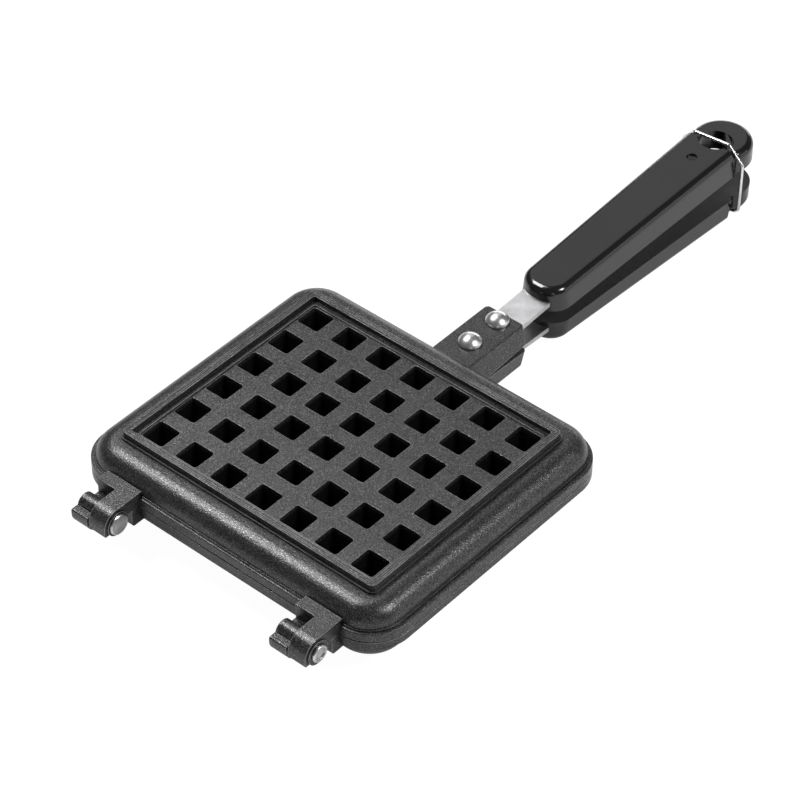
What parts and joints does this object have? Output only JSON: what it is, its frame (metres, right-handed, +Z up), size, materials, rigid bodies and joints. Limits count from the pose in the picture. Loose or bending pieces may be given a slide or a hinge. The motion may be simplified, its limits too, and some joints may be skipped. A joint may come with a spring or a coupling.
{
  "type": "stovetop waffle iron",
  "caption": "Closed stovetop waffle iron: two hinged square cast pans with pitted faces, paired long moulded handles and a wire bail that holds them shut.",
  "frame": {"origin": "middle of the bottom of the closed iron's bounding box; the face that the lower pan stands on is 2.15 mm above it, because the lower handle ends that much lower", "axes": "+X along the hinge line towards the pin heads, +Y from the hinge to the handles, +Z up out of the upper pan"},
  "size_m": [0.149, 0.331, 0.0368],
  "materials": {
    "cast_pan": "semi-gloss dark coating on sandy die-cast aluminium",
    "handle_moulding": "glossy black bakelite",
    "tang_steel": "satin plated strip",
    "rivet_aluminium": "bright, pressed",
    "pin_steel": "bright plated",
    "screw_steel": "darkened steel",
    "bail_wire": "bright spring wire"
  },
  "bodies": {
    "lower_half": {"lower_pan": "cast_pan", "left_hinge_pin": "pin_steel", "right_hinge_pin": "pin_steel", "lower_tang": "tang_steel", "lower_front_rivet": "rivet_aluminium", "lower_rear_rivet": "rivet_aluminium", "lower_handle": "handle_moulding", "lower_handle_screw": "screw_steel"},
    "upper_half": {"upper_pan": "cast_pan", "upper_tang": "tang_steel", "upper_front_rivet": "rivet_aluminium", "upper_rear_rivet": "rivet_aluminium", "upper_handle": "handle_moulding", "upper_handle_screw": "screw_steel"},
    "bail": {"wire_bail": "bail_wire"}
  },
  "joints": [
    {"name": "lid_hinge", "type": "hinge", "parent": "lower_half", "child": "upper_half", "pos_m": [0, -0.15917, 0.01775], "axis": [1, 0, 0], "range_deg": [0, 180]},
    {"name": "bail_swing", "type": "hinge", "parent": "lower_half", "child": "bail", "pos_m": [0, 0.14663, 0.00485], "axis": [-1, 0, 0], "range_deg": [0, 240], "deforming": ["wire_bail"]}
  ]
}
